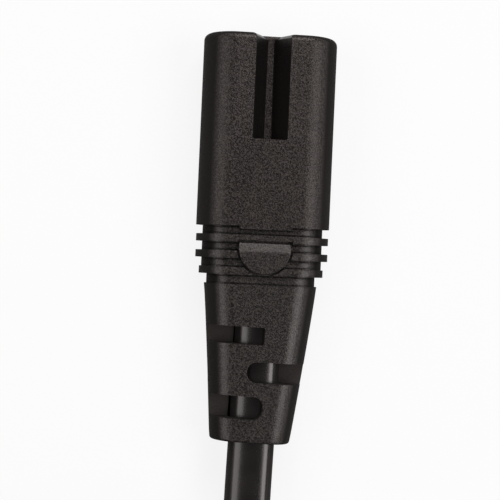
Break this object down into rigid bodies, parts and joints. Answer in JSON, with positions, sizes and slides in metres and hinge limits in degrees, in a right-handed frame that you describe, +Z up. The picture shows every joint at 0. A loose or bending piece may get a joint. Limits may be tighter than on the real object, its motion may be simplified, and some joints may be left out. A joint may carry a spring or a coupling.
{
  "type": "figure eight power connector",
  "caption": "Figure-eight power connector with a ribbed collar and slotted flex boot, moulded on a flat cord that is coiled, tied and ends in a flat-blade plug.",
  "frame": {"origin": "under the middle of the connector, on the surface that it lies on", "axes": "+X across the connector's width, +Y out of its mating face, +Z up, away from the surface"},
  "size_m": [0.083, 0.1293, 0.0135],
  "materials": {
    "moulding": "fine spark-eroded grain, soft PVC",
    "cord": "smooth satin PVC sheath",
    "insert": "hard moulded plastic",
    "contact": "bright",
    "conductor": "bare copper",
    "core_live": "brown insulation",
    "core_neutral": "blue insulation",
    "tie": "plastic-covered wire",
    "blade": "nickel plated"
  },
  "bodies": {
    "root": {"connector_body": "moulding", "contact_carrier": "insert", "contact_live": "contact", "contact_neutral": "contact", "conductor_live": "conductor", "conductor_neutral": "conductor", "core_live": "core_live", "core_neutral": "core_neutral", "cord_lead": "cord", "cord_coil": "cord", "cord_tail": "cord", "coil_tie": "tie", "plug_body": "moulding", "blade_holder": "insert", "blade_live": "blade", "blade_neutral": "blade", "plug_conductor_live": "conductor", "plug_conductor_neutral": "conductor", "plug_core_live": "core_live", "plug_core_neutral": "core_neutral"}
  },
  "joints": []
}
